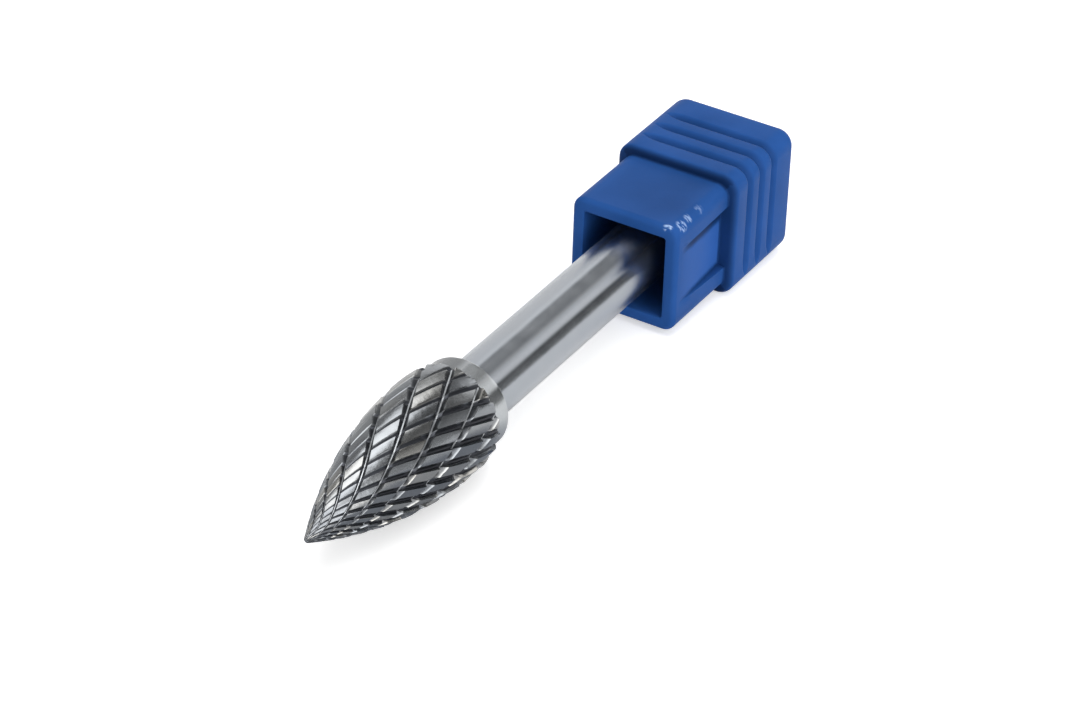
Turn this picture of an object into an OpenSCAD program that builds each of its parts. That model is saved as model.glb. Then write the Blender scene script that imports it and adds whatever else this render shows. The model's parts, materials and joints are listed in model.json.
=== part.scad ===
// Rotary burr: a double-cut pointed tree head brazed to a turned steel shank, with its moulded holder cap on
// the shank's end. It is modelled standing, with z along the tool from the shank's end to the tip, and is then
// laid down as it comes to rest, on the cap's foremost ridge and the belly of the head.

/* [Cutting head] */
// Largest diameter, over the cutting edges
head_d = 10; // [8:0.1:12]
// Length from the collar to the tip
head_len = 22; // [18:0.5:26]
// Distance from the back of the head to its largest diameter
belly_z = 2.6; // [1.5:0.1:5]
// How far the back of the head stands out past the collar all round
back_overhang = 0.45; // [0.2:0.05:0.6]
// Bevel round the back of the head
back_bevel = 0.2; // [0.1:0.05:0.6]
// Radius of the slightly blunt tip
tip_r = 0.25; // [0.2:0.05:0.5]

/* [Flutes] */
// Number of right-hand cutting flutes
flutes = 20; // [16:1:24]
// Helix angle of the flutes, in degrees
flute_helix = 18.5; // [12:0.5:26]
// Depth of the flutes at the largest diameter
flute_depth = 0.5; // [0.3:0.02:0.6]
// Share of the flutes' pitch that the gullet takes
gullet_share = 0.42; // [0.3:0.02:0.6]
// Share of the flutes' depth by which the flat land drops behind the cutting edge
land_drop = 0.42; // [0.1:0.02:0.6]
// How far round the first flute starts, in degrees
flute_turn = 14.5; // [0:0.1:36]

/* [Chip breakers] */
// Number of left-hand chip-breaker grooves
breakers = 10; // [8:1:12]
// Helix angle of the chip-breaker grooves, in degrees
breaker_helix = 24.5; // [18:0.5:30]
// Depth of the chip-breaker grooves at the largest diameter
breaker_depth = 0.62; // [0.3:0.02:0.7]
// Width of the chip-breaker grooves at the largest diameter
breaker_w = 0.86; // [0.4:0.02:1]
// Width of the narrow flat along their bottom
breaker_root_w = 0.12; // [0.06:0.02:0.3]
// How far round the first chip breaker starts, in degrees
breaker_turn = 2.4; // [0:0.1:36]

/* [Ends of the teeth] */
// Length over which the cuts run out towards the back of the head
run_out_len = 1.2; // [0.8:0.1:2]
// Share of the cuts' depth that is left at the back of the head
run_out_share = 0.55; // [0.1:0.05:0.8]
// Radius below which the helix straightens towards the tip
straighten_r = 1.3; // [0.8:0.1:2]

/* [Shank] */
// Diameter of the ground shank
shank_d = 6; // [5:0.5:7]
// Length of the shank behind the collar
shank_len = 45; // [40:1:50]
// Diameter of the collar
collar_d = 8.6; // [8:0.1:9.4]
// Length of the collar
collar_len = 1.9; // [1:0.1:3]
// Bevel on the collar's rear edge
collar_bevel = 0.25; // [0.1:0.05:0.5]
// Radius of the fillet between the collar and the shank
collar_fillet = 0.4; // [0.2:0.1:0.8]
// Bevel on the shank's end
shank_bevel = 0.5; // [0.2:0.1:1]

/* [Holder cap front] */
// Width of the square front section
front_w = 10.8; // [10.2:0.1:11.4]
// Length of the front section
front_len = 9.2; // [7:0.1:12]
// Corner radius of the front section
front_corner_r = 1.2; // [0.8:0.1:1.6]
// Edge radius round the rim
rim_r = 0.3; // [0.1:0.05:0.5]
// Width of the square opening
opening_w = 8.3; // [7.8:0.1:9]
// Corner radius of the opening
opening_corner_r = 0.25; // [0.15:0.05:0.8]
// Distance from the rim to the start of the sunk side panels
panel_start = 2.2; // [1:0.1:4]
// Depth of the side panels at the shoulder
panel_depth = 0.7; // [0.3:0.05:0.8]
// Width of the side panels
panel_w = 5.8; // [4:0.1:7]

/* [Holder cap grip] */
// Width of the square ribbed grip
grip_w = 12.4; // [12:0.1:14]
// Length of the ribbed grip
grip_len = 11.1; // [9.5:0.1:13]
// Corner radius of the grip
grip_corner_r = 1.6; // [1.3:0.1:1.8]
// Edge radius round the rear face
rear_edge_r = 1.1; // [0.6:0.1:1.2]
// Edge radius of the shoulder
shoulder_r = 0.6; // [0.3:0.05:0.8]
// Thickness of the end wall behind the shank
end_wall = 1.3; // [0.8:0.1:2]
// Radial clearance of the shank in its socket
socket_clearance = 0.03; // [0.02:0.01:0.08]
// Gap between the shank's end and the socket's floor
end_gap = 0.1; // [0.05:0.05:0.3]
// Bevel round the mouth of the socket
socket_bevel = 0.4; // [0.2:0.1:0.8]

/* [Grip grooves] */
// Number of grooves round the grip
grip_grooves = 3; // [2:1:3]
// Distance from the shoulder to the middle of the first groove
groove_first = 2.6; // [2:0.1:3]
// Distance between the grooves
groove_pitch = 2.2; // [1.6:0.1:2.4]
// Width of a groove
groove_w = 1.3; // [0.6:0.1:1.5]
// Depth of a groove
groove_depth = 0.4; // [0.2:0.02:0.6]
// How far a groove keeps its full depth past the middle of each face
groove_reach = 3.3; // [2:0.1:4]
// Radius on which a groove runs out to the surface
groove_exit_r = 4; // [2:0.5:6]

/* [Hidden] */
$fn = 96;
over = 1; // how far a cutting shape runs past the faces that it opens

// The tool's stations along z, from the shank's end
collar_z = shank_len;
head_z = collar_z + collar_len;
tip_z = head_z + head_len;
cap_z = -end_wall - end_gap;
shoulder_z = cap_z + grip_len;
rim_z = shoulder_z + front_len;

// Form of the head: a parabola from the belly to the tip, and one from the belly back to the bevelled edge
belly_r = head_d / 2;
back_r = collar_d / 2 + back_overhang;
tip_cone = tip_r / 2;
nose_len = head_len - tip_cone - belly_z;
function crest_r(z) = z < belly_z
    ? min(belly_r - (belly_r - back_r) * pow((belly_z - z) / belly_z, 2), back_r - back_bevel + z)
    : belly_r - (belly_r - tip_r) * pow((z - belly_z) / nose_len, 2);

// Section of a flute as [share of the pitch, share of the depth]: the cutting edge, its rake face, a round
// gullet, and the foot of the flat land that rises to the next edge
flute_form = [
    [0, 0],
    [0.17 * gullet_share, 0.82],
    [0.38 * gullet_share, 1],
    [0.74 * gullet_share, 0.82],
    [gullet_share, land_drop]
];
// Section of a chip breaker in the same terms: a vee with a narrow flat, and the teeth that it parts
breaker_pitch = PI * head_d * cos(breaker_helix) / breakers;
breaker_half = breaker_w / 2 / breaker_pitch;
root_half = breaker_root_w / 2 / breaker_pitch;
breaker_form = [[root_half, 1], [breaker_half, 0], [0.5, 0], [1 - breaker_half, 0], [1 - root_half, 1]];
breaker_section = [[0, 1], each breaker_form, [1, 1]];

// Turn of a 45 degree helix along the head, in degrees, as a table of [turn, z]
turn_steps = 220;
turn_dz = (head_len - tip_cone) / turn_steps;
function turn_step(i) = 180 / PI * turn_dz / max(crest_r((i + 0.5) * turn_dz), straighten_r);
turn_table = [for (i = 0, f = 0; i <= turn_steps; f = f + turn_step(i), i = i + 1) [f, i * turn_dz]];
full_turn = turn_table[turn_steps][0];
bevel_turn = lookup(back_bevel, [for (row = turn_table) [row[1], row[0]]]);

// Flute lines u and chip-breaker lines v cross at turn (v - u) / slope_sum. Each flute line is one column of
// points, which lie where the chip-breaker lines cross it, so every tooth edge is an edge of the solid.
flute_slope = tan(flute_helix);
slope_sum = flute_slope + tan(breaker_helix);
columns = flutes * len(flute_form);
per_breaker = len(breaker_form);
first_turn = bevel_turn + 1; // the least turn at which a column's first crossing may lie, past the bevel
function u_angle(a) = 360 / flutes * (floor(a / len(flute_form)) + flute_form[a % len(flute_form)][0]);
function v_angle(b) = 360 / breakers * (floor(b / per_breaker) + breaker_form[b % per_breaker][0]);
// How many chip-breaker pitches past the first chip breaker a point on flute line a lies at a given turn
function breaker_count(a, turn) = breakers * (flute_turn - breaker_turn + u_angle(a) + slope_sum * turn) / 360;
function first_line(a) =
    let (
        count = breaker_count(a, first_turn),
        whole = floor(count)
    )
    per_breaker * whole + len([for (form = breaker_form) if (form[0] <= count - whole) 1]);
function crossing_turn(a, b) = (breaker_turn + v_angle(b) - flute_turn - u_angle(a)) / slope_sum;
crossings = per_breaker * floor(breakers * (full_turn - first_turn) * slope_sum / 360);
rows = crossings + 2;

// A point on flute line a at a given turn, as deep as the flute or the chip breaker cuts it
function tooth_point(a, turn) =
    let (
        z = lookup(turn, turn_table),
        crest = crest_r(z),
        count = breaker_count(a, turn),
        breaker_cut = breaker_depth * lookup(count - floor(count), breaker_section),
        cut = max(flute_depth * flute_form[a % len(flute_form)][1], breaker_cut),
        run_out = min(1, run_out_share + (1 - run_out_share) * z / run_out_len),
        r = crest - cut * run_out * min(1, crest / belly_r),
        angle = flute_turn + u_angle(a) + flute_slope * turn
    )
    [r * cos(angle), r * sin(angle), z];

head_points = [
    for (a = [0 : columns - 1])
        let (b = first_line(a))
        each [
            tooth_point(a, bevel_turn),
            for (m = [0 : crossings - 1]) tooth_point(a, crossing_turn(a, b + m)),
            tooth_point(a, full_turn)
        ],
    for (a = [0 : columns - 1]) tooth_point(a, 0),
    [0, 0, 0],
    [0, 0, head_len]
];
function at(a, m) = (a % columns) * rows + m;
function back(a) = columns * rows + a % columns;
back_centre = columns * (rows + 1);
tip_point = back_centre + 1;

// Between two columns the same chip-breaker line is shift places further on, so a fan closes each end
function strip_faces(a, shift) = [
    for (m = [0 : shift]) [at(a + 1, 0), at(a, m), at(a, m + 1)],
    [at(a + 1, 0), at(a, shift + 1), at(a + 1, 1)],
    for (m = [shift + 1 : crossings - 1])
        each [
            [at(a, m), at(a, m + 1), at(a + 1, m - shift)],
            [at(a, m + 1), at(a + 1, m + 1 - shift), at(a + 1, m - shift)]
        ],
    for (m = [crossings - shift : crossings]) [at(a, crossings + 1), at(a + 1, m + 1), at(a + 1, m)],
    [at(a, crossings), at(a, crossings + 1), at(a + 1, crossings - shift)]
];
function end_faces(a) = [
    [back(a), at(a, 0), back(a + 1)],
    [at(a, 0), at(a + 1, 0), back(a + 1)],
    [back_centre, back(a), back(a + 1)],
    [tip_point, at(a + 1, rows - 1), at(a, rows - 1)]
];
// Past the last column the lines start again one whole turn further on
function shift_to_next(a) =
    (a + 1 < columns ? first_line(a + 1) : first_line(0) + breakers * per_breaker) - first_line(a);
head_faces = [
    for (a = [0 : columns - 1])
        each concat(strip_faces(a, shift_to_next(a)), end_faces(a))
];

// Outline of the turned shank and collar, as [radius, z]
fillet_steps = 6;
shank_outline = [
    [0, 0],
    [shank_d / 2 - shank_bevel, 0],
    [shank_d / 2, shank_bevel],
    for (i = [0 : fillet_steps])
        let (angle = 90 * i / fillet_steps)
        [
            shank_d / 2 + collar_fillet * (1 - cos(angle)),
            collar_z - collar_fillet * (1 - sin(angle))
        ],
    [collar_d / 2 - collar_bevel, collar_z],
    [collar_d / 2, collar_z + collar_bevel],
    [collar_d / 2, head_z],
    [0, head_z]
];

// Outlines of the cap's two square sections, as [half width, z], with quarter rounds of a few points
round_steps = 5;
function quarter(r, half, z, from) = [
    for (i = [0 : round_steps])
        let (angle = from + 90 * i / round_steps)
        [half - r + r * cos(angle), z + r * sin(angle)]
];
grip_half = grip_w / 2;
front_half = front_w / 2;
grip_outline = [
    each quarter(rear_edge_r, grip_half, cap_z + rear_edge_r, -90),
    each quarter(shoulder_r, grip_half, shoulder_z - shoulder_r, 0)
];
front_outline = [
    [front_half, shoulder_z - over],
    each quarter(rim_r, front_half, rim_z - rim_r, 0)
];

// Section of what a groove takes away, as [distance outside the face, z], at a given way and distance from an axis
groove_steps = 8;
groove_outline = [
    for (j = [0 : groove_steps])
        [
            -groove_depth * (1 - cos(360 * j / groove_steps)) / 2,
            groove_w * (j / groove_steps - 0.5)
        ],
    [over, groove_w / 2],
    [over, -groove_w / 2]
];
function groove_section(from, way) = [for (point = groove_outline) [from + way * point[0], point[1]]];
// Turn on which a groove's floor reaches the surface, and a little more
groove_exit_turn = acos(1 - groove_depth / groove_exit_r) + 3;

// How the tool comes to rest: the floor line under it touches the cap's outline and the belly of the head
belly_steps = 20;
belly_points = [
    for (i = [0 : belly_steps])
        let (z = belly_z * 2 * i / belly_steps)
        [crest_r(z), head_z + z]
];
rest_tilt = max([
    for (foot = grip_outline)
        min([for (belly = belly_points) atan2(foot[0] - belly[0], belly[1] - foot[1])])
]);
floor_z = max([for (foot = grip_outline) foot[0] * cos(rest_tilt) + foot[1] * sin(rest_tilt)]);
rear_x = min([for (foot = grip_outline) foot[1] * cos(rest_tilt) - foot[0] * sin(rest_tilt)]);
tip_x = tip_z * cos(rest_tilt);

module laid_down() {
    translate([-(rear_x + tip_x) / 2, 0, floor_z])
        rotate([0, 90 + rest_tilt, 0])
            children();
}

// A square bar with round corners whose half width follows an outline: two crossing slabs and four quarter turns
module square_bar(outline, corner_r) {
    half = max([for (point = outline) point[0]]);
    centre = half - corner_r;
    closed = concat([[0, outline[0][1]]], outline, [[0, outline[len(outline) - 1][1]]]);
    corner = concat(
        [[0, outline[0][1]]],
        [for (point = outline) [point[0] - centre, point[1]]],
        [[0, outline[len(outline) - 1][1]]]
    );
    for (turn = [0 : 90 : 270])
        rotate([0, 0, turn]) {
            rotate([90, 0, 0])
                linear_extrude(height = 2 * centre, center = true)
                    polygon(closed);
            translate([centre, centre, 0])
                rotate_extrude(angle = 90)
                    polygon(corner);
        }
}

// A square hole with round corners, open at its far end
module square_hole(width, corner_r, depth) {
    centre = width / 2 - corner_r;
    linear_extrude(height = depth) {
        square([width, 2 * centre], center = true);
        square([2 * centre, width], center = true);
        for (x = [-centre, centre], y = [-centre, centre])
            translate([x, y])
                circle(r = corner_r);
    }
}

// A wedge that sinks a panel into one side of the front section, from nothing to its full depth at the shoulder
module panel_cut() {
    rotate([90, 0, 90])
        linear_extrude(height = panel_w, center = true)
            polygon([
                [front_half, rim_z - panel_start],
                [front_half + over, rim_z - panel_start],
                [front_half + over, shoulder_z],
                [front_half - panel_depth, shoulder_z]
            ]);
}

// One groove of the grip: it wraps a corner, and on the two faces beside it runs out before the parting line
module grip_groove() {
    centre = grip_half - grip_corner_r;
    translate([centre, centre, 0])
        rotate_extrude(angle = 90)
            polygon(groove_section(grip_corner_r, 1));
    for (side = [[0, 0, 0], [180, 0, 90]])
        rotate(side) {
            translate([0, centre, 0])
                rotate([90, 0, 0])
                    linear_extrude(height = centre + groove_reach)
                        polygon(groove_section(grip_half, 1));
            translate([grip_half - groove_depth + groove_exit_r, -groove_reach, 0])
                rotate([0, 0, 180])
                    rotate_extrude(angle = groove_exit_turn)
                        polygon(groove_section(groove_exit_r - groove_depth, -1));
        }
}

// Solid carbide head, ground with right-hand flutes and left-hand chip breakers
module burr_head() {
    color("#4b4d50")
        laid_down()
            translate([0, 0, head_z])
                polyhedron(points = head_points, faces = head_faces);
}

// Shank and collar, turned and ground in one piece
module shank() {
    color("#b9bdc4")
        laid_down()
            rotate_extrude()
                polygon(shank_outline);
}

// Holder cap, moulded in one piece: a square mouth, a ribbed grip and a round socket for the shank
module holder_cap() {
    socket_r = shank_d / 2 + socket_clearance;
    color("#2f559f")
        laid_down()
            difference() {
                union() {
                    square_bar(grip_outline, grip_corner_r);
                    square_bar(front_outline, front_corner_r);
                }
                translate([0, 0, shoulder_z])
                    square_hole(opening_w, opening_corner_r, front_len + over);
                translate([0, 0, cap_z + end_wall])
                    cylinder(r = socket_r, h = grip_len);
                translate([0, 0, shoulder_z - socket_bevel])
                    cylinder(r1 = socket_r, r2 = socket_r + socket_bevel + over, h = socket_bevel + over);
                for (side = [0, 180])
                    rotate([0, 0, side])
                        panel_cut();
                for (i = [0 : grip_grooves - 1], corner = [90, 270])
                    translate([0, 0, shoulder_z - groove_first - groove_pitch * i])
                        rotate([0, 0, corner])
                            grip_groove();
            }
}

burr_head();
shank();
holder_cap();
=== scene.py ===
"""Looks of a rotary burr with its holder cap: a toothed carbide head, a ground shank and a moulded cap."""
import json
from math import cos, floor, pi, radians, sin, tan

import bpy
import numpy as np
from mathutils import Matrix, Quaternion, Vector


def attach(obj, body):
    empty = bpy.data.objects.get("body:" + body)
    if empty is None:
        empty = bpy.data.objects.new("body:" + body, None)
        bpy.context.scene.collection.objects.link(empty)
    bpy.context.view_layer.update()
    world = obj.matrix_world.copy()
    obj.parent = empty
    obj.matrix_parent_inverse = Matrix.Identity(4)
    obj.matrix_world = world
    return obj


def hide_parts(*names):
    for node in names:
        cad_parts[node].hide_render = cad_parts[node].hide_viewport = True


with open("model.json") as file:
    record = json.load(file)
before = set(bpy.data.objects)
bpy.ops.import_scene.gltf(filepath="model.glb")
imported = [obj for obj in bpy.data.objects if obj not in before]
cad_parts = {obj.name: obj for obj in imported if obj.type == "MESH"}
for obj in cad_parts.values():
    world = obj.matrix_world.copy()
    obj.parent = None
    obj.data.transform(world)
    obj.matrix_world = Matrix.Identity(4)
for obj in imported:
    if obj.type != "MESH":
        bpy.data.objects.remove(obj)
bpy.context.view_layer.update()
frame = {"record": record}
MM = 0.001

# The tool's own frame: z along the tool from the shank's end to the tip, x down, in millimetres
SHANK_END = next(m for m in frame["record"]["mounts"] if m["name"] == "shank")
TOOL_Z = -Vector(SHANK_END["axis"]).normalized()
TOOL_Y = Vector((0, 1, 0))
TOOL_X = TOOL_Y.cross(TOOL_Z)
TOOL = Matrix.Translation(SHANK_END["pos_m"]) @ Matrix((TOOL_X, TOOL_Y, TOOL_Z)).transposed().to_4x4()
TOOL = TOOL @ Matrix.Scale(MM, 4)

# Stations along the tool, as in the CAD model
COLLAR_Z = 45
HEAD_Z = 46.9
CAP_Z = -1.4
SHOULDER_Z = 9.7
RIM_Z = 18.9


def make_piece(name, points, faces, body, node, material, sharp_deg, uv=None):
    """A mesh piece in the tool's own frame that stands for a CAD node. Edges over sharp_deg stay crisp."""
    mesh = bpy.data.meshes.new(name)
    mesh.from_pydata([TOOL @ Vector(p) for p in points], [], [tuple(f) for f in faces])
    mesh.validate()
    mesh.shade_smooth()
    mesh.set_sharp_from_angle(angle=radians(sharp_deg))
    if uv is not None:
        layer = mesh.uv_layers.new(name="surface")
        corners = np.empty(len(mesh.loops), int)
        mesh.loops.foreach_get("vertex_index", corners)
        layer.data.foreach_set("uv", np.asarray(uv, float)[corners].ravel())
    piece = bpy.data.objects.new(name, mesh)
    bpy.context.scene.collection.objects.link(piece)
    mesh.materials.append(material)
    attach(piece, body)
    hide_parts(node)
    return piece


def add_values(piece, name, values):
    """Gives a piece one value per point, which its material reads by name."""
    piece.data.attributes.new(name, "FLOAT", "POINT").data.foreach_set("value", values)


# Camera at the photograph's viewing angle
CAMERA_AT = Vector((0.25527, 0.14603, 0.18678))
CAMERA_AIM = Vector((0.00116, 0.00118, 0.00454))
CAMERA_ROLL = 3.04
LENS = 133.9


def make_camera():
    data = bpy.data.cameras.new("camera")
    data.sensor_width = 36
    data.lens = LENS
    data.clip_start = 0.01
    camera = bpy.data.objects.new("camera", data)
    look = (CAMERA_AIM - CAMERA_AT).to_track_quat("-Z", "Y")
    camera.location = CAMERA_AT
    camera.rotation_mode = "QUATERNION"
    camera.rotation_quaternion = look @ Quaternion((0, 0, 1), radians(CAMERA_ROLL))
    bpy.context.scene.collection.objects.link(camera)
    bpy.context.scene.camera = camera


class Nodes:
    """A short way to write a node tree: every call adds one node and links what it is given."""

    MIX_A, MIX_B, MIX_RESULT = 6, 7, 2  # the colour sockets of a mix node

    def __init__(self, tree):
        self.tree = tree
        tree.nodes.clear()

    def feed(self, socket, value):
        if isinstance(value, bpy.types.NodeSocket):
            self.tree.links.new(value, socket)
        else:
            socket.default_value = value

    def add(self, kind, inputs=None, **settings):
        node = self.tree.nodes.new(kind)
        for name, value in settings.items():
            setattr(node, name, value)
        for key, value in (inputs or {}).items():
            self.feed(node.inputs[key], value)
        return node

    def uv(self):
        return self.add("ShaderNodeUVMap", uv_map="surface").outputs[0]

    def place(self):
        return self.add("ShaderNodeTexCoord").outputs["Object"]

    def attribute(self, name):
        return self.add("ShaderNodeAttribute", attribute_name=name).outputs["Fac"]

    def split(self, vector):
        return self.add("ShaderNodeSeparateXYZ", {0: vector}).outputs

    def math(self, operation, a, b=0.0, c=0.0, clamp=False):
        return self.add("ShaderNodeMath", {0: a, 1: b, 2: c}, operation=operation, use_clamp=clamp).outputs[0]

    def noise(self, vector, scale, detail=3.0, roughness=0.5, distortion=0.0):
        values = {"Vector": vector, "Scale": scale, "Detail": detail, "Roughness": roughness,
                  "Distortion": distortion}
        return self.add("ShaderNodeTexNoise", values).outputs["Fac"]

    def stretch(self, vector, scale):
        return self.add("ShaderNodeMapping", {"Vector": vector, "Scale": scale}).outputs[0]

    def span(self, value, low, high, to_low=0.0, to_high=1.0, smooth=False):
        values = {"Value": value, "From Min": low, "From Max": high, "To Min": to_low, "To Max": to_high}
        kind = "SMOOTHSTEP" if smooth else "LINEAR"
        return self.add("ShaderNodeMapRange", values, interpolation_type=kind).outputs[0]

    def ramp(self, value, stops):
        """Grey levels at places from 0 to 1."""
        node = self.add("ShaderNodeValToRGB", {"Fac": value})
        elements = node.color_ramp.elements
        while len(elements) < len(stops):
            elements.new(0.5)
        for element, (place, level) in zip(elements, stops):
            element.position = place
            element.color = (level, level, level, 1)
        return node.outputs["Color"]

    def mix(self, share, a, b):
        node = self.add("ShaderNodeMix", {"Factor": share}, data_type="RGBA")
        for index, value in ((self.MIX_A, a), (self.MIX_B, b)):
            self.feed(node.inputs[index], (*value, 1) if isinstance(value, tuple) else value)
        return node.outputs[self.MIX_RESULT]

    def bump(self, height, strength, distance):
        values = {"Height": height, "Strength": strength, "Distance": distance}
        return self.add("ShaderNodeBump", values).outputs[0]


def new_material(name):
    material = bpy.data.materials.new(name)
    material.use_nodes = True
    return material, Nodes(material.node_tree)


def finish_material(nodes, shader):
    nodes.add("ShaderNodeOutputMaterial", {"Surface": shader.outputs[0]})


# Colours of the carbide: the gullet colour is partly its duller ground finish and partly painted shade, the
# root colour a painted highlight
LAND_DULL, LAND_BRIGHT, LAND_CLOUD = (0.27, 0.285, 0.30), (0.53, 0.52, 0.485), (0.19, 0.195, 0.215)
GULLET_TARNISH_AND_SHADE, ROOT_HIGHLIGHT = (0.066, 0.07, 0.08), (0.52, 0.54, 0.56)


def carbide_material():
    """Ground carbide: lands that differ from tooth to tooth, gullets darker for their finish and by painted
    shade, and chip-breaker roots with a painted highlight.
    """
    material, n = new_material("ground_carbide")
    place = n.place()
    breaker = n.attribute("breaker")
    marks = n.noise(n.stretch(n.uv(), (9.0, 0.6, 1.0)), 1.6, 4.0, 0.6)
    cloud = n.noise(place, 420.0, 3.0)
    waves = n.noise(place, 1500.0, 2.0)
    land = n.mix(n.attribute("tooth"), LAND_DULL, LAND_BRIGHT)
    land = n.mix(n.span(cloud, 0.35, 0.65, 0.0, 0.3), land, LAND_CLOUD)
    # The gullets and chip-breaker walls are darkened partly for their duller finish and partly by painted
    # shade
    in_gullet = n.span(n.attribute("gullet"), 0.44, 0.74, smooth=True)
    in_breaker = n.span(breaker, 0.1, 0.45, 0.0, 0.72, smooth=True)
    dark = n.math("MAXIMUM", in_gullet, in_breaker)
    colour = n.mix(dark, land, GULLET_TARNISH_AND_SHADE)
    # A painted highlight along the chip-breaker roots
    colour = n.mix(n.span(breaker, 0.93, 0.985, smooth=True), colour, ROOT_HIGHLIGHT)
    wear = n.math("ADD", n.math("MULTIPLY", marks, 0.6), n.math("MULTIPLY", cloud, 0.4))
    rough = n.math("ADD", n.span(wear, 0.3, 0.7, 0.15, 0.3), n.math("MULTIPLY", dark, 0.18))
    normal = n.bump(n.math("ADD", n.math("MULTIPLY", marks, 0.35), waves), 0.4, 0.00004)
    values = {"Base Color": colour, "Metallic": 1.0, "Roughness": rough, "Normal": normal}
    finish_material(n, n.add("ShaderNodeBsdfPrincipled", values))
    return material


# Colours of the steel, and where the collar's painted darkening, which stands for a dark reflection on its
# top, sets in and fades, in millimetres round the shank
STEEL_DULL, STEEL_BRIGHT = (0.34, 0.365, 0.40), (0.42, 0.44, 0.465)
COLLAR_TONE, COLLAR_PAINTED_DARK = (0.48, 0.5, 0.515), (0.13, 0.135, 0.14)
DARK_TOP_SETS_IN, DARK_TOP_FADES, DARK_TOP_STRENGTH = (8.6, 9.7), (12, 15), 0.8


def steel_material():
    """Centreless-ground steel with fine marks round the shank, and a turned collar whose top has a painted
    darkening that stands for a dark reflection.
    """
    material, n = new_material("ground_steel")
    uv = n.uv()
    round_it, along, _ = n.split(uv)
    collar = n.span(along, COLLAR_Z - 0.15, COLLAR_Z + 0.05, smooth=True)
    rings = n.noise(n.stretch(uv, (0.15, 14.0, 1.0)), 1.5, 4.0, 0.65)
    cloud = n.noise(uv, 0.35, 3.0)
    # Painted darkening on the collar's top, standing for a dark reflection there
    dark_top = n.span(round_it, *DARK_TOP_SETS_IN, smooth=True)
    dark_top = n.math("MULTIPLY", dark_top, n.span(round_it, *DARK_TOP_FADES, DARK_TOP_STRENGTH, 0.0))
    colour = n.mix(cloud, STEEL_DULL, STEEL_BRIGHT)
    colour = n.mix(collar, colour, n.mix(dark_top, COLLAR_TONE, COLLAR_PAINTED_DARK))
    wear = n.math("ADD", n.math("MULTIPLY", rings, 0.5), n.math("MULTIPLY", cloud, 0.5))
    rough = n.span(wear, 0.3, 0.7, 0.17, 0.25)
    normal = n.bump(rings, n.math("ADD", 0.15, n.math("MULTIPLY", collar, 0.2)), 0.00001)
    tangent = n.add("ShaderNodeTangent", direction_type="UV_MAP", uv_map="surface").outputs[0]
    values = {"Base Color": colour, "Metallic": 1.0, "Roughness": rough, "Anisotropic": 0.85,
              "Anisotropic Rotation": 0.25, "Tangent": tangent, "Normal": normal}
    finish_material(n, n.add("ShaderNodeBsdfPrincipled", values))
    return material


# Colours of the plastic: the two that it drifts between, then painted shade in corners, painted light on sunk
# faces and painted highlights on scuffs
BLUE_DEEP, BLUE_PALE = (0.017, 0.074, 0.264), (0.0245, 0.096, 0.337)
BLUE_PAINTED_SHADE, BLUE_PANEL_PAINTED_LIGHT, BLUE_SCUFF_GLINT = (0.003, 0.013, 0.05), (0.045, 0.15, 0.52), (0.4, 0.56, 0.85)
# Scuffs on the cap, with painted highlights, as (place in metres, reach in metres, strength), on the corner
# beside the mouth
SCUFFS_AND_GLINTS = [((-0.01476, 0.00427, 0.01127), 0.0006, 0.95), ((-0.01599, 0.005, 0.01104), 0.00075, 0.9),
          ((-0.01729, 0.00486, 0.01119), 0.0006, 0.6), ((-0.0192, 0.00489, 0.01122), 0.0006, 0.4)]


def plastic_material():
    """Semi-matt blue moulded plastic with painted shade in its corners, painted light on its sunk panels, and
    a few scuffs beside the mouth with painted highlights.
    """
    material, n = new_material("moulded_blue")
    place = n.place()
    shade = n.attribute("shade")
    cloud = n.noise(place, 160.0, 3.0)
    grain = n.noise(place, 5200.0, 2.0)
    colour = n.mix(n.span(cloud, 0.3, 0.7), BLUE_DEEP, BLUE_PALE)
    # Painted shade where the shade attribute is above zero
    colour = n.mix(shade, colour, BLUE_PAINTED_SHADE)
    # Painted light on the sunk panels, where the shade attribute is below zero
    colour = n.mix(n.span(shade, 0, -1), colour, BLUE_PANEL_PAINTED_LIGHT)
    # Scuffs: real worn marks given bumps, with their pale colour a painted highlight
    torn = n.span(n.noise(n.stretch(place, (2.0, 0.7, 0.7)), 2200.0, 2.0, 0.5, 0.6), 0.46, 0.64)
    scuff_and_glint = 0.0
    for centre, reach, strength in SCUFFS_AND_GLINTS:
        away = n.add("ShaderNodeVectorMath", {0: place, 1: centre}, operation="DISTANCE").outputs["Value"]
        scuff_and_glint = n.math("ADD", n.span(away, reach * 0.4, reach, strength, 0.0, smooth=True), scuff_and_glint)
    scuff_and_glint = n.math("MULTIPLY", scuff_and_glint, torn, clamp=True)
    colour = n.mix(scuff_and_glint, colour, BLUE_SCUFF_GLINT)
    rough = n.span(cloud, 0.3, 0.7, 0.34, 0.46)
    normal = n.bump(n.math("ADD", grain, n.math("MULTIPLY", scuff_and_glint, 3.0)), 0.2, 0.00002)
    values = {"Base Color": colour, "Roughness": rough, "Specular IOR Level": 0.035, "Normal": normal}
    finish_material(n, n.add("ShaderNodeBsdfPrincipled", values))
    return material


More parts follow.
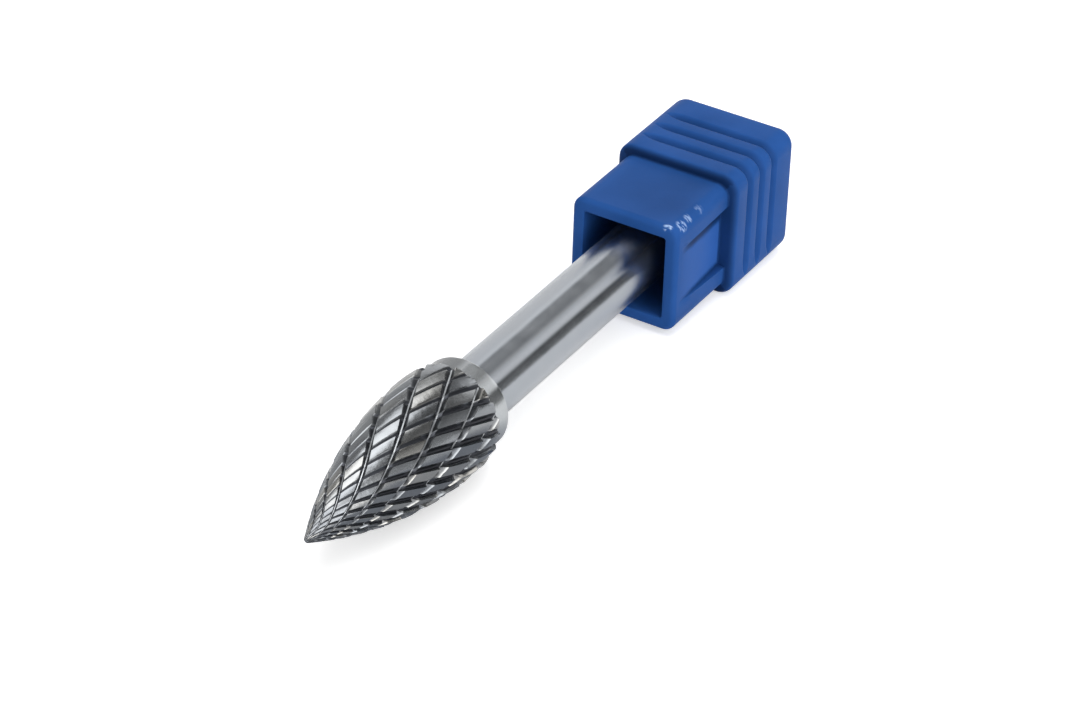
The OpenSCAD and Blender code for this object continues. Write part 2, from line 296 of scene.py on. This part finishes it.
# Form of the head, as in the CAD model, in millimetres and degrees. Its z runs from its back face.
HEAD_LEN = 22
BELLY_Z = 2.6
BELLY_R = 5
BACK_R = 4.75
BACK_BEVEL = 0.2
RUN_OUT = 1.2
RUN_OUT_SHARE = 0.55
TIP_R = 0.25
TIP_CONE = TIP_R / 2
NOSE_LEN = HEAD_LEN - TIP_CONE - BELLY_Z
STRAIGHTEN_R = 1.3
FLUTES = 20
BREAKERS = 10
BREAKER_HELIX = radians(24.5)
FLUTE_SLOPE = tan(radians(18.5))
SLOPE_SUM = FLUTE_SLOPE + tan(BREAKER_HELIX)
FLUTE_DEPTH = 0.5
BREAKER_DEPTH = 0.62
FLUTE_TURN = 14.5
BREAKER_TURN = 2.4
BREAKER_PITCH = 2 * pi * BELLY_R * cos(BREAKER_HELIX) / BREAKERS
BREAKER_HALF = 0.38 / BREAKER_PITCH
ROOT_HALF = 0.06 / BREAKER_PITCH
# Section of a flute as (share of the pitch, share of the depth), and of a chip breaker in the same terms
FLUTE_FORM = [(0, 0), (0.025, 0.34), (0.071, 0.82), (0.11, 0.95), (0.16, 1), (0.22, 0.98), (0.311, 0.82),
              (0.37, 0.6), (0.42, 0.43), (0.5, 0.35), (0.62, 0.26), (0.76, 0.155), (0.9, 0.06)]
BREAKER_FORM = [(ROOT_HALF, 1), (BREAKER_HALF, 0), (0.24, 0), (0.37, 0), (0.5, 0), (0.63, 0), (0.76, 0),
                (1 - BREAKER_HALF, 0), (1 - ROOT_HALF, 1)]
FLUTE_LINES, BREAKER_LINES = len(FLUTE_FORM), len(BREAKER_FORM)
COLUMNS = FLUTES * FLUTE_LINES
HELIX_STEPS = 1200
FIRST_TURN = 1  # least turn of the helix between the bevel and a column's first crossing
# How the ground lands differ from tooth to tooth: in height, in lean across the tooth and in tilt along it
LAND_SPREAD = 0.026
HEIGHT_SHARE, LEAN_SHARE = 0.5, 1.6
LEAN_MIDDLE = 0.3
LAND_DEPTH = 0.5  # a place whose share of the flute's depth is less belongs to a land
TOOTH_START = 0.1  # share of the pitch at which a flute goes over from one tooth to the next
TOOTH_ROWS = 4 * BREAKERS
SPREAD_SEED, BRIGHTNESS_SEED = 7, 8


def crest_radius(z):
    """Radius of the head over the crests of its teeth."""
    behind = BELLY_R - (BELLY_R - BACK_R) * np.square((BELLY_Z - z) / BELLY_Z)
    behind = np.minimum(behind, BACK_R - BACK_BEVEL + z)
    ahead = BELLY_R - (BELLY_R - TIP_R) * np.square((z - BELLY_Z) / NOSE_LEN)
    return np.where(z < BELLY_Z, behind, ahead)


def helix_table():
    """Turn of a 45 degree helix along the head, in degrees, against z."""
    stations = np.linspace(0, HEAD_LEN - TIP_CONE, HELIX_STEPS)
    middle = (stations[1:] + stations[:-1]) / 2
    steps = np.degrees(np.diff(stations) / np.maximum(crest_radius(middle), STRAIGHTEN_R))
    return np.concatenate([[0], np.cumsum(steps)]), stations


def flute_angle(a):
    return 360 / FLUTES * (a // FLUTE_LINES + FLUTE_FORM[a % FLUTE_LINES][0])


def breaker_angle(b):
    return 360 / BREAKERS * (b // BREAKER_LINES + BREAKER_FORM[b % BREAKER_LINES][0])


def breaker_count(a, turn):
    """How many chip breakers flute line a has crossed at a turn of the helix, with the share of the next."""
    return BREAKERS * (FLUTE_TURN - BREAKER_TURN + flute_angle(a) + SLOPE_SUM * turn) / 360


def first_crossing(a, turn):
    """The first chip-breaker line that flute line a crosses after a turn of the helix."""
    count = breaker_count(a, turn)
    return BREAKER_LINES * floor(count) + sum(share <= count - floor(count) for share, _ in BREAKER_FORM)


def crossing_turn(a, b):
    """Turn of the helix at which flute line a crosses chip-breaker line b."""
    return (BREAKER_TURN + breaker_angle(b) - FLUTE_TURN - flute_angle(a)) / SLOPE_SUM


class Teeth:
    """Points of the toothed head, with the values that its material reads."""

    def __init__(self):
        self.turns, self.stations = helix_table()
        self.spread = np.random.default_rng(SPREAD_SEED).normal(0, 1, (FLUTES, TOOTH_ROWS, 3))
        self.brightness = np.random.default_rng(BRIGHTNESS_SEED).random((FLUTES, TOOTH_ROWS)) ** 3
        self.points, self.uv = [], []
        self.values = {"gullet": [], "breaker": [], "tooth": []}

    def turn_at(self, z):
        return float(np.interp(z, self.stations, self.turns))

    def land_cut(self, tooth, flute_part, breaker_part):
        """How much deeper than the form a tooth's land is ground at a place on it."""
        height, lean, tilt = self.spread[tooth]
        across = (1 - flute_part if flute_part > TOOTH_START else -flute_part) - LEAN_MIDDLE
        along = breaker_part - 0.5
        return LAND_SPREAD * (HEIGHT_SHARE * height + LEAN_SHARE * lean * across + tilt * along)

    def add(self, point, uv, gullet, breaker, tooth):
        self.points.append(point)
        self.uv.append(uv)
        for name, value in (("gullet", gullet), ("breaker", breaker), ("tooth", tooth)):
            self.values[name].append(value)

    def add_on_flute(self, a, turn):
        """Adds the point of flute line a at a turn of the helix."""
        z = float(np.interp(turn, self.turns, self.stations))
        crest = float(crest_radius(z))
        count = breaker_count(a, turn)
        breaker_part = count - floor(count)
        flute_part, flute_share = FLUTE_FORM[a % FLUTE_LINES]
        breaker_share = float(np.interp(breaker_part, *zip((0, 1), *BREAKER_FORM, (1, 1))))
        tooth = (a // FLUTE_LINES - (flute_part < TOOTH_START)) % FLUTES, int(count) % TOOTH_ROWS
        cut = max(FLUTE_DEPTH * flute_share, BREAKER_DEPTH * breaker_share)
        if BREAKER_HALF < breaker_part < 1 - BREAKER_HALF and flute_share < LAND_DEPTH:
            cut += self.land_cut(tooth, flute_part, breaker_part)
        run_out = min(1, RUN_OUT_SHARE + (1 - RUN_OUT_SHARE) * z / RUN_OUT)
        r = crest - max(cut, 0) * run_out * min(1, crest / BELLY_R)
        angle = radians(FLUTE_TURN + flute_angle(a) + FLUTE_SLOPE * turn)
        point = (r * cos(angle), r * sin(angle), HEAD_Z + z)
        uv = (radians(flute_angle(a)) * BELLY_R, z)
        self.add(point, uv, flute_share, breaker_share, self.brightness[tooth])


def make_head(material):
    """The toothed head on a skewed lattice: flute lines are its columns and chip-breaker lines cross them."""
    teeth = Teeth()
    bevel_turn, tip_turn = teeth.turn_at(BACK_BEVEL), teeth.turns[-1]
    first_turn = bevel_turn + FIRST_TURN
    first = [first_crossing(a, first_turn) for a in range(COLUMNS)]
    crossings = BREAKER_LINES * floor(BREAKERS * (tip_turn - first_turn) * SLOPE_SUM / 360)
    rows = crossings + 2
    for a in range(COLUMNS):
        teeth.add_on_flute(a, bevel_turn)
        for m in range(crossings):
            teeth.add_on_flute(a, crossing_turn(a, first[a] + m))
        teeth.add_on_flute(a, tip_turn)
    for a in range(COLUMNS):
        teeth.add_on_flute(a, 0)
    back_centre = len(teeth.points)
    tip_point = back_centre + 1
    teeth.add((0, 0, HEAD_Z), (0, 0), 0, 0, 0)
    teeth.add((0, 0, HEAD_Z + HEAD_LEN), (0, HEAD_LEN), 0, 0, 0)

    def at(a, m):
        return (a % COLUMNS) * rows + m

    def back(a):
        return COLUMNS * rows + a % COLUMNS

    faces = []
    for a, next_first in enumerate([*first[1:], first[0] + BREAKERS * BREAKER_LINES]):
        shift = next_first - first[a]
        faces += [(at(a + 1, 0), at(a, m + 1), at(a, m)) for m in range(shift + 1)]
        faces += [(at(a + 1, 0), at(a + 1, 1), at(a, shift + 1))]
        faces += [(at(a, m), at(a + 1, m - shift), at(a + 1, m + 1 - shift), at(a, m + 1))
                  for m in range(shift + 1, crossings)]
        faces += [(at(a, crossings + 1), at(a + 1, m), at(a + 1, m + 1))
                  for m in range(crossings - shift, crossings + 1)]
        faces += [(at(a, crossings), at(a + 1, crossings - shift), at(a, crossings + 1))]
        faces += [(back(a), back(a + 1), at(a + 1, 0), at(a, 0)), (back_centre, back(a + 1), back(a)),
                  (tip_point, at(a, rows - 1), at(a + 1, rows - 1))]
    head = make_piece("toothed_head", teeth.points, faces, "burr", "burr_head", material, 24,
                      teeth.uv)
    for name, values in teeth.values.items():
        add_values(head, name, values)


def arc(centre, r, start, stop, steps):
    """Points of an arc in the (radius or half width, z) plane, with its angles in degrees."""
    angles = [radians(start + (stop - start) * i / steps) for i in range(steps + 1)]
    return [(centre[0] + r * cos(t), centre[1] + r * sin(t)) for t in angles]


def ring_faces(count, rings):
    """Faces of a closed skin whose points are a first pole, a number of rings and a last pole."""
    last_ring, last_pole = 1 + (rings - 1) * count, 1 + rings * count
    faces = []
    for k in range(count):
        n = (k + 1) % count
        faces.append((0, 1 + n, 1 + k))
        for low in range(1, last_ring, count):
            high = low + count
            faces.append((low + k, low + n, high + n, high + k))
        faces.append((last_pole, last_ring + k, last_ring + n))
    return faces


# Form of the shank and its collar, as in the CAD model but with rounded edges
SHANK_R = 3
COLLAR_R = 4.3
END_FACE_R, END_FACE_EDGE = 2.42, 0.12
BEVEL_LEN, BEVEL_EDGE = 0.55, 0.15
FILLET_R = 0.4
COLLAR_EDGE, COLLAR_FRONT_EDGE = 0.18, 0.02
SHANK_SIDES, SHANK_RINGS = 160, 40


def shank_outline():
    """Half section as (radius, z), with extra rings on the long straights and flats for even shading."""
    fillet_z = COLLAR_Z - FILLET_R
    outline = [(0, 0), (1.2, 0), (END_FACE_R, 0)]
    outline += arc((END_FACE_R, END_FACE_EDGE), END_FACE_EDGE, -90, -45, 3)
    outline += arc((SHANK_R - BEVEL_EDGE, BEVEL_LEN), BEVEL_EDGE, -45, 0, 3)
    outline += [(SHANK_R, 0.8)]
    outline += [(SHANK_R, fillet_z * i / SHANK_RINGS) for i in range(1, SHANK_RINGS)]
    outline += arc((SHANK_R + FILLET_R, fillet_z), FILLET_R, 180, 90, 8)
    outline += [(3.9, COLLAR_Z)]
    outline += arc((COLLAR_R - COLLAR_EDGE, COLLAR_Z + COLLAR_EDGE), COLLAR_EDGE, -90, 0, 6)
    outline += [(COLLAR_R, COLLAR_Z + 0.5), (COLLAR_R, HEAD_Z - 0.7), (COLLAR_R, HEAD_Z - COLLAR_FRONT_EDGE)]
    return outline + [(COLLAR_R - COLLAR_FRONT_EDGE, HEAD_Z), (2, HEAD_Z), (0, HEAD_Z)]


def make_shank(material):
    """Shank and collar as one turned piece."""
    outline = shank_outline()
    points = [(0, 0, 0)]
    uv = [(0, 0)]
    for r, z in outline[1:-1]:
        for k in range(SHANK_SIDES):
            angle = 2 * pi * k / SHANK_SIDES
            points.append((r * cos(angle), r * sin(angle), z))
            uv.append((angle * SHANK_R, z))
    points.append((0, 0, HEAD_Z))
    uv.append((0, HEAD_Z))
    faces = ring_faces(SHANK_SIDES, len(outline) - 2)
    make_piece("ground_shank", points, faces, "burr", "shank", material, 40, uv)


# Sizes of the cap, as in the CAD model: half widths, and the centre of each corner's rounding
GRIP_HALF, GRIP_CENTRE = 6.2, 4.6
FRONT_HALF, FRONT_CENTRE = 5.4, 4.2
HOLE_HALF, HOLE_CENTRE = 4.15, 3.9
GROOVE_FIRST, GROOVE_PITCH = 2.6, 2.2
GROOVES = [SHOULDER_Z - GROOVE_FIRST - GROOVE_PITCH * i for i in (2, 1, 0)]
GROOVE_HALF_W = 0.65
GROOVE_DEPTH = 0.4
GROOVE_REACH = 3.3
GROOVE_EXIT_R = 4
GROOVE_STEPS = 8
SOCKET_R, SOCKET_Z = 3.03, -0.1
SOCKET_BEVEL = 0.4
PANEL_DEPTH = 0.7
REAR_EDGE, SHOULDER_EDGE = 1.1, 0.6
# Fine roundings of the cap, which are sharp or smaller in the CAD model
SHOULDER_FOOT, RIM_EDGE, MOUTH_EDGE, MOUTH_FOOT = 0.14, 0.5, 0.1, 0.15
# The sunk panels' own outline, tapered: its end near the rim, and its reach from the middle to its upper and
# its lower edge, at the shoulder and at that end
PANEL_END_Z = RIM_Z - 1
PANEL_LEN = PANEL_END_Z - SHOULDER_Z
PANEL_TOP, PANEL_LOW = (3.25, 2.95), (3.05, 2.6)
# Where a ring has points for the panel's edge, and how near the middle points are moved with that edge
PANEL_EDGE, PANEL_MOVED = 2.9, 3.1
# Shares of the way from the middle of a flat to its end at which a ring has points
EDGE_SHARE = PANEL_EDGE / FRONT_CENTRE
HALF_FLAT = [0, 0.12, 0.24, 0.3, 0.36, 0.43, 0.5, EDGE_SHARE - 0.13, EDGE_SHARE - 0.05, EDGE_SHARE - 0.012,
             EDGE_SHARE + 0.012, 0.83, 0.89, 0.95, 1]
FLATS = [-share for share in reversed(HALF_FLAT)] + HALF_FLAT[1:]
CORNER_STEPS = 14


def flat_ring(x, y, z):
    """Points at one z along the tool."""
    return np.stack([x, y, np.full_like(x, z)], 1)


def rounded_square(half, centre):
    """Places round a rounded square, from the flat beside its (+, +) corner, with the angle each faces."""
    ring = []
    for quarter in range(4):
        turn = radians(90 * quarter)
        side = [(half, centre * share, 0.0) for share in FLATS[:-1]]
        for i in range(CORNER_STEPS):
            t = radians(90 * i / CORNER_STEPS)
            side.append((centre + (half - centre) * cos(t), centre + (half - centre) * sin(t), t))
        for x, y, t in side:
            ring.append((x * cos(turn) - y * sin(turn), x * sin(turn) + y * cos(turn), t + turn))
    return np.array(ring).T


def square_ring(half, centre, z):
    x, y, _ = rounded_square(half, centre)
    return flat_ring(x, y, z)


def round_ring(r, z):
    x, y, _ = rounded_square(HOLE_HALF, HOLE_CENTRE)
    angle = np.arctan2(y, x)
    return flat_ring(r * np.cos(angle), r * np.sin(angle), z)


def groove_floor(x, y):
    """Depth of a groove's floor at a place on the grip: the groove runs out near two of the corners."""
    gap = np.maximum(np.where(y > x, np.maximum(x, -y), np.maximum(-x, y)) - GROOVE_REACH, 0)
    rise = GROOVE_EXIT_R - np.sqrt(np.maximum(GROOVE_EXIT_R ** 2 - gap ** 2, 0))
    return np.clip(GROOVE_DEPTH - rise, 0, GROOVE_DEPTH)


def grooved_ring(z, rise):
    """A ring of the grip in a groove whose cosine flank stands up by rise from the groove's floor."""
    x, y, facing = rounded_square(GRIP_HALF, GRIP_CENTRE)
    sunk = np.clip(groove_floor(x, y) - rise, 0, None)
    return flat_ring(x - sunk * np.cos(facing), y - sunk * np.sin(facing), z)


def panel_reach(down, z):
    """How far a panel goes from the middle to its upper or lower edge."""
    share = np.clip((z - SHOULDER_Z) / PANEL_LEN, 0, 1)
    top, low = [near + (far - near) * share for near, far in (PANEL_TOP, PANEL_LOW)]
    return np.where(down < 0, top, low)


def panelled_ring(half, z):
    """A ring of the front section with its two side panels sunk in."""
    ring = square_ring(half, FRONT_CENTRE, z)
    down, side = ring[:, 0].copy(), ring[:, 1].copy()
    on_side = np.abs(side) > FRONT_CENTRE
    depth = PANEL_DEPTH * np.clip((PANEL_END_Z - z) / PANEL_LEN, 0, 1)
    ring[:, 1] -= np.where(on_side & (np.abs(down) < PANEL_EDGE), depth, 0) * np.sign(side)
    ring[:, 0] *= np.where(on_side & (np.abs(down) < PANEL_MOVED), panel_reach(down, z) / PANEL_EDGE, 1)
    return ring


def grip_rings():
    """From the rear face over the grip and its grooves to the shoulder."""
    edge = arc((GRIP_HALF - REAR_EDGE, CAP_Z + REAR_EDGE), REAR_EDGE, -90, 0, 10)
    rings = [square_ring(half, min(GRIP_CENTRE, half - 0.35), z) for half, z in edge]
    for middle in GROOVES:
        for i in range(-GROOVE_STEPS, GROOVE_STEPS + 1):
            rise = GROOVE_DEPTH * (1 - cos(pi * i / GROOVE_STEPS)) / 2
            rings.append(grooved_ring(middle + GROOVE_HALF_W * i / GROOVE_STEPS, rise))
    edge = arc((GRIP_HALF - SHOULDER_EDGE, SHOULDER_Z - SHOULDER_EDGE), SHOULDER_EDGE, 0, 90, 8)
    return rings + [square_ring(half, min(GRIP_CENTRE, half - 1), z) for half, z in edge]


def front_rings():
    """From the foot of the shoulder along the front section to its rim."""
    foot = arc((FRONT_HALF + SHOULDER_FOOT, SHOULDER_Z + SHOULDER_FOOT), SHOULDER_FOOT, -90, -180, 4)
    rings = [panelled_ring(half, z) for half, z in foot]
    rings += [panelled_ring(FRONT_HALF, z) for z in np.linspace(SHOULDER_Z + 0.4, PANEL_END_Z, 8)]
    rings += [square_ring(FRONT_HALF, FRONT_CENTRE, z) for z in (RIM_Z - 0.9, RIM_Z - 0.6)]
    edge = arc((FRONT_HALF - RIM_EDGE, RIM_Z - RIM_EDGE), RIM_EDGE, 0, 90, 8)
    return rings + [square_ring(half, FRONT_CENTRE, z) for half, z in edge]


def mouth_rings():
    """From the rim down the square mouth to the bottom of the round socket."""
    edge = arc((HOLE_HALF + MOUTH_EDGE, RIM_Z - MOUTH_EDGE), MOUTH_EDGE, 90, 180, 4)
    rings = [square_ring(half, HOLE_CENTRE, z) for half, z in edge]
    rings += [square_ring(HOLE_HALF, HOLE_CENTRE, z) for z in np.linspace(RIM_Z - 0.8, SHOULDER_Z + 0.3, 8)]
    foot = arc((HOLE_HALF - MOUTH_FOOT, SHOULDER_Z + MOUTH_FOOT), MOUTH_FOOT, 0, -90, 4)
    rings += [square_ring(half, HOLE_CENTRE - 0.1, z) for half, z in foot]
    rings += [round_ring(SOCKET_R + SOCKET_BEVEL, SHOULDER_Z)]
    depths = (SHOULDER_Z - SOCKET_BEVEL, SHOULDER_Z - 2.5, 4, SOCKET_Z)
    return rings + [round_ring(SOCKET_R, z) for z in depths]


# Painted shade on the moulding, from 0 to 1, and how much painted light makes the open face of a panel paler.
# A pair is the least value and what is added where a panel is deepest, or where a groove lies on top.
SIDE_FOOT, TOP_FOOT = 0.6, 0.85
ABOVE_PANEL, BELOW_PANEL, PANEL_PAINTED_LIGHT = 0.76, (0.3, 0.25), (0.2, 0.4)
IN_GROOVE, IN_MOUTH, IN_SOCKET = (0.2, 0.25), 0.45, 0.2
BY_TOP_CORNER = 0.15
WALL_MIDDLE = 4.5  # what lies farther out from the middle than this is the outside of the cap
PANEL_MARGIN = 1.2  # keeps the panels' shades off the rounded corners of the front section


def between(value, low, high):
    """Goes from 0 at low to 1 at high, whichever of them is the larger."""
    return np.clip((value - low) / (high - low), 0, 1)


def grown(pair, share):
    """The pair's first value with a share of its second added."""
    least, more = pair
    return least + more * share


def panel_shades(down, side, along, across):
    """Painted shade beside the panels' upper and lower edges, and painted light that makes their open face
    paler.
    """
    on_panel = (np.abs(side) > np.abs(down) + PANEL_MARGIN) & (along > SHOULDER_Z) & (along < PANEL_END_Z)
    sunk = between(across, FRONT_HALF, FRONT_HALF - PANEL_DEPTH) * on_panel
    fade = between(sunk, 0, 0.2)
    from_edge = panel_reach(down, along) - np.abs(down)
    above = ABOVE_PANEL * fade * between(from_edge, 0.7 + 0.9 * sunk, 0.35 + 0.9 * sunk) * (down < 0)
    below = grown(BELOW_PANEL, sunk) * fade * between(from_edge, 0.5, 0.15) * (down > 0)
    return np.maximum(above, below), -grown(PANEL_PAINTED_LIGHT, sunk) * fade


def cap_shade(points):
    """Painted shade on the moulding at each point: up to 1 in inward corners, and below zero where painted
    light makes it paler.
    """
    down, side, along = points.T
    across = np.maximum(np.abs(down), np.abs(side))
    ribbed = (along > CAP_Z + 1.2) & (along < SHOULDER_Z - 1.5)
    foot = between(along, SHOULDER_Z - 0.45, SHOULDER_Z - 0.05)
    foot *= between(along, SHOULDER_Z + 0.35, SHOULDER_Z + 0.05)
    foot *= np.where(np.abs(side) > np.abs(down), SIDE_FOOT, TOP_FOOT)
    corner_reach = np.hypot(*np.clip(np.abs([down, side]) - GRIP_CENTRE, 0, None))
    groove = between(corner_reach, GRIP_HALF - GRIP_CENTRE, GRIP_HALF - GRIP_CENTRE - GROOVE_DEPTH)
    groove *= grown(IN_GROOVE, between(down, -4, -6)) * ribbed
    top = BY_TOP_CORNER * between(along, RIM_Z - 0.6, RIM_Z - 2.6) * (along > SHOULDER_Z)
    top *= between(np.abs(down), 5, 5.3) * between(np.abs(side), FRONT_CENTRE, FRONT_CENTRE - 1)
    edges, face = panel_shades(down, side, along, across)
    outside = np.maximum.reduce([foot, edges, groove, top])
    outside = np.where(outside == 0, face, outside)
    inside = IN_MOUTH * between(along, RIM_Z - 0.2, RIM_Z - 3.2) * (along > SHOULDER_Z - 0.5)
    inside = np.where(ribbed, IN_SOCKET, inside)
    return np.where(across > WALL_MIDDLE, outside, inside)


def make_cap(material):
    """The moulded cap as one skin: rings from the rear face over the grip and front into the mouth."""
    rings = grip_rings() + front_rings() + mouth_rings()
    points = np.concatenate([[[0, 0, CAP_Z]], *rings, [[0, 0, SOCKET_Z]]])
    faces = ring_faces(len(rings[0]), len(rings))
    cap = make_piece("ribbed_cap", points.tolist(), faces, "cap", "holder_cap", material, 34)
    add_values(cap, "shade", cap_shade(points))


# The floor glows a little to the camera and in mirrors. In mirrors it turns darker, and its glow fades, from
# one place along its x to another under the tool's nose, in metres. That is a painted shadow of the nose,
# seen only in mirrors.
FLOOR_SIZE = 3
NOSE_ZONE = (0.002, 0.01)
FLOOR_GREY, NOSE_SHADOW_GREY = (0.88, 0.88, 0.88), (0.42, 0.44, 0.48)
MIRRORED_GLOW, SHOWN_GLOW = 0.2, 0.5


def make_floor():
    bpy.ops.mesh.primitive_plane_add(size=FLOOR_SIZE)
    plane = bpy.context.object
    plane.name = "floor"
    material, n = new_material("floor")
    rays = n.add("ShaderNodeLightPath")
    mirrored = n.math("MAXIMUM", rays.outputs["Is Glossy Ray"], rays.outputs["Is Transmission Ray"])
    along = n.split(n.place())[0]
    # Painted shadow of the nose on the floor, seen only in mirrors
    nose = n.span(along, *NOSE_ZONE, smooth=True)
    glow = n.math("MULTIPLY", mirrored, n.span(nose, 0, 1, MIRRORED_GLOW, 0.0))
    glow = n.math("ADD", n.math("MULTIPLY", rays.outputs["Is Camera Ray"], SHOWN_GLOW), glow)
    grey = n.mix(n.math("MULTIPLY", mirrored, nose), FLOOR_GREY, NOSE_SHADOW_GREY)
    diffuse = n.add("ShaderNodeBsdfDiffuse", {"Color": grey})
    shown = n.add("ShaderNodeEmission", {"Color": (1, 1, 1, 1), "Strength": glow})
    finish_material(n, n.add("ShaderNodeAddShader", {0: diffuse.outputs[0], 1: shown.outputs[0]}))
    plane.data.materials.append(material)


# Brightness of the room behind the cap, over the tool and ahead of its tip, as (share of the half turn from
# the near side over the top to the far side, level), and of the wall straight ahead
REAR_ROOM = [(0.0, 0.11), (0.15, 0.07), (0.2, 1.45), (0.27, 1.5), (0.34, 1.1), (0.41, 0.45), (0.46, 0.35),
             (0.52, 0.24), (0.6, 0.12), (0.62, 0.14), (0.655, 1.55), (0.7, 1.5), (0.76, 1.25), (1.0, 1.1)]
MIDDLE_ROOM = [(0.0, 0.6), (0.1, 0.42), (0.19, 0.2), (0.3, 0.1), (0.5, 0.1), (0.66, 0.25), (0.74, 0.6),
               (0.86, 0.65), (1.0, 0.9)]
FRONT_ROOM = [(0.0, 3.7), (0.14, 3.2), (0.22, 1.5), (0.3, 0.2), (0.7, 0.1), (0.8, 0.4), (1.0, 0.7)]
END_WALL = (0.88, 0.88, 0.88)


def lamp_strength(n, x, y, z):
    """A soft lamp overhead with four soft sides, brighter toward the camera and straight above."""
    near = n.span(n.math("SUBTRACT", y, n.math("MULTIPLY", x, 0.9)), 0.4, 0.7, 1.0, 0.0, smooth=True)
    far = n.span(y, -0.4, -0.22, smooth=True)
    rear = n.span(x, -0.68, -0.33, smooth=True)
    ahead = n.span(x, 0.24, 0.4, 1.0, 0.0, smooth=True)
    lamp = n.math("MULTIPLY", n.math("MULTIPLY", near, far), n.math("MULTIPLY", rear, ahead))
    lamp = n.math("MULTIPLY", lamp, n.math("MULTIPLY", n.span(z, 0.0, 0.2), n.span(y, -0.3, 0.6, 2.1, 2.7)))
    return n.math("MULTIPLY", lamp, n.span(z, 0.88, 0.97, 1.0, 1.25, smooth=True))


def make_world():
    """A room with walls of changing brightness and a lamp overhead. The camera itself sees plain white."""
    world = bpy.data.worlds.new("studio")
    bpy.context.scene.world = world
    world.use_nodes = True
    n = Nodes(world.node_tree)
    x, y, z = n.split(n.add("ShaderNodeTexCoord").outputs["Generated"])
    around = n.math("DIVIDE", n.math("ARCTAN2", z, y), pi)
    rear, middle, front = [n.ramp(around, stops) for stops in (REAR_ROOM, MIDDLE_ROOM, FRONT_ROOM)]
    walls = n.mix(n.span(x, -0.68, -0.58, smooth=True), rear, middle)
    walls = n.mix(n.span(x, -0.1, 0.15, smooth=True), walls, front)
    walls = n.mix(n.span(x, 0.45, 0.85, smooth=True), walls, END_WALL)
    room = n.add("ShaderNodeBackground", {"Color": walls, "Strength": 1.0})
    lamp = n.add("ShaderNodeBackground", {"Color": (1, 1, 1, 1), "Strength": lamp_strength(n, x, y, z)})
    studio = n.add("ShaderNodeAddShader", {0: room.outputs[0], 1: lamp.outputs[0]})
    white = n.add("ShaderNodeBackground", {"Color": (1, 1, 1, 1), "Strength": 1.0})
    seen = n.add("ShaderNodeLightPath").outputs["Is Camera Ray"]
    shown = n.add("ShaderNodeMixShader", {0: seen, 1: studio.outputs[0], 2: white.outputs[0]})
    n.add("ShaderNodeOutputWorld", {"Surface": shown.outputs[0]})


bpy.context.scene.view_settings.view_transform = "Standard"
make_camera()
make_floor()
make_world()
make_head(carbide_material())
make_shank(steel_material())
make_cap(plastic_material())
